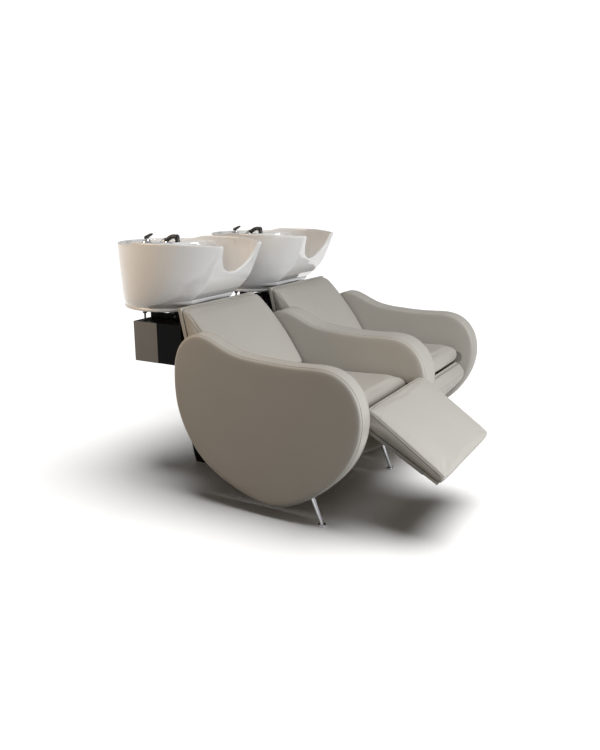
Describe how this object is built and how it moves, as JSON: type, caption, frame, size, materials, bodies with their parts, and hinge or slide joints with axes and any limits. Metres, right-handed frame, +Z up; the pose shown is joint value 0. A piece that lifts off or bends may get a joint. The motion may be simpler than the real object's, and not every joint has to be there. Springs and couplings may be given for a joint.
{
  "type": "hair washing bed",
  "caption": "Hair washing unit with padded seats between rounded side panels, swinging leg rests and tilting glazed basins with mixer and hand shower on a service housing.",
  "frame": {"origin": "centre of the whole unit's bounding box on the floor", "axes": "+X to the right of someone facing the seats from the front, +Y from the leg rests to the basins, +Z up"},
  "size_m": [1.362, 1.5548, 1.0001],
  "materials": {
    "upholstery": "warm pale grey synthetic leather, soft and slightly sheened",
    "upholstery_piping": "darker warm grey synthetic leather on the outer faces",
    "glazed_white": "glossy white glaze",
    "black_coat": "black powder coat",
    "dark_grey_coat": "dark grey powder coat",
    "chrome": "polished chrome",
    "steel": "plain steel",
    "black_plastic": "black moulded plastic",
    "grey_plastic": "grey moulded plastic pipe",
    "buffer_rubber": "soft black rubber",
    "board_wood": "plywood",
    "copper_pipe": "plain pipe metal"
  },
  "bodies": {
    "base": {"side_panel_board_left": "board_wood", "side_panel_cover_left": "upholstery", "side_panel_board_middle": "board_wood", "side_panel_cover_middle": "upholstery", "side_panel_board_right": "board_wood", "side_panel_cover_right": "upholstery", "front_legs": "chrome", "leg_feet": "chrome", "column_base_plate": "black_coat", "column_side_plates": "black_coat", "column_front_plate": "black_coat", "column_rear_cover": "black_coat", "service_floor": "black_coat", "service_top": "black_coat", "service_front": "black_coat", "service_rear_cover": "dark_grey_coat", "cover_screws": "steel", "service_end_plates": "black_coat", "service_end_covers": "dark_grey_coat", "waste_pipe": "grey_plastic", "waste_traps": "grey_plastic", "water_pipes": "copper_pipe", "seat_cross_tubes": "black_coat", "seat_rails": "black_coat", "seat_boards": "board_wood", "backrest_boards": "upholstery", "backrest_brackets": "black_coat", "hinge_brackets": "steel", "tilt_cheeks": "black_coat", "tilt_pins": "steel", "stop_rods": "buffer_rubber", "seat_cushion_left": "upholstery", "backrest_cushion_left": "upholstery", "seat_cushion_right": "upholstery", "backrest_cushion_right": "upholstery"},
    "leg_rest_left": {"leg_rest_pad_left": "upholstery", "leg_rest_board_left": "upholstery", "leg_rest_arms_left": "steel"},
    "basin_left": {"basin_left": "glazed_white", "drain_left": "chrome", "basin_carrier_left": "black_coat", "mixer_body_left": "chrome", "shower_holder_left": "chrome"},
    "mixer_hub_left": {"mixer_hub_left": "chrome"},
    "mixer_lever_left": {"mixer_lever_left": "black_plastic"},
    "hand_shower_left": {"hand_shower_left": "black_plastic"},
    "strainer_left": {"strainer_left": "chrome"},
    "leg_rest_right": {"leg_rest_pad_right": "upholstery", "leg_rest_board_right": "upholstery", "leg_rest_arms_right": "steel"},
    "basin_right": {"basin_right": "glazed_white", "drain_right": "chrome", "basin_carrier_right": "black_coat", "mixer_body_right": "chrome", "shower_holder_right": "chrome"},
    "mixer_hub_right": {"mixer_hub_right": "chrome"},
    "mixer_lever_right": {"mixer_lever_right": "black_plastic"},
    "hand_shower_right": {"hand_shower_right": "black_plastic"},
    "strainer_right": {"strainer_right": "chrome"}
  },
  "joints": [
    {"name": "leg_rest_left_swing", "type": "hinge", "parent": "base", "child": "leg_rest_left", "pos_m": [-0.333, -0.42071, 0.387], "axis": [1, 0, 0], "range_deg": [0, 100]},
    {"name": "basin_left_tilt", "type": "hinge", "parent": "base", "child": "basin_left", "pos_m": [-0.333, 0.43429, 0.676], "axis": [1, 0, 0], "range_deg": [0, 6]},
    {"name": "mixer_left_turn", "type": "hinge", "parent": "basin_left", "child": "mixer_hub_left", "pos_m": [-0.373, 0.65129, 0.9683], "axis": [0, 0, 1], "range_deg": [-40, 40]},
    {"name": "mixer_left_lift", "type": "hinge", "parent": "mixer_hub_left", "child": "mixer_lever_left", "pos_m": [-0.373, 0.65129, 0.9823], "axis": [-1, 0, 0], "range_deg": [0, 25]},
    {"name": "hand_shower_left_pull", "type": "slide", "parent": "basin_left", "child": "hand_shower_left", "axis": [0, -0.8572, 0.515], "range_m": [0, 0.05]},
    {"name": "strainer_left_lift", "type": "slide", "parent": "basin_left", "child": "strainer_left", "axis": [0, 0, 1], "range_m": [0, 0.03]},
    {"name": "leg_rest_right_swing", "type": "hinge", "parent": "base", "child": "leg_rest_right", "pos_m": [0.333, -0.42071, 0.387], "axis": [1, 0, 0], "range_deg": [-100, 0]},
    {"name": "basin_right_tilt", "type": "hinge", "parent": "base", "child": "basin_right", "pos_m": [0.333, 0.43429, 0.676], "axis": [1, 0, 0], "range_deg": [0, 6]},
    {"name": "mixer_right_turn", "type": "hinge", "parent": "basin_right", "child": "mixer_hub_right", "pos_m": [0.293, 0.65129, 0.9683], "axis": [0, 0, 1], "range_deg": [-40, 40]},
    {"name": "mixer_right_lift", "type": "hinge", "parent": "mixer_hub_right", "child": "mixer_lever_right", "pos_m": [0.293, 0.65129, 0.9823], "axis": [-1, 0, 0], "range_deg": [0, 25]},
    {"name": "hand_shower_right_pull", "type": "slide", "parent": "basin_right", "child": "hand_shower_right", "axis": [0, -0.8572, 0.515], "range_m": [0, 0.05]},
    {"name": "strainer_right_lift", "type": "slide", "parent": "basin_right", "child": "strainer_right", "axis": [0, 0, 1], "range_m": [0, 0.03]}
  ]
}
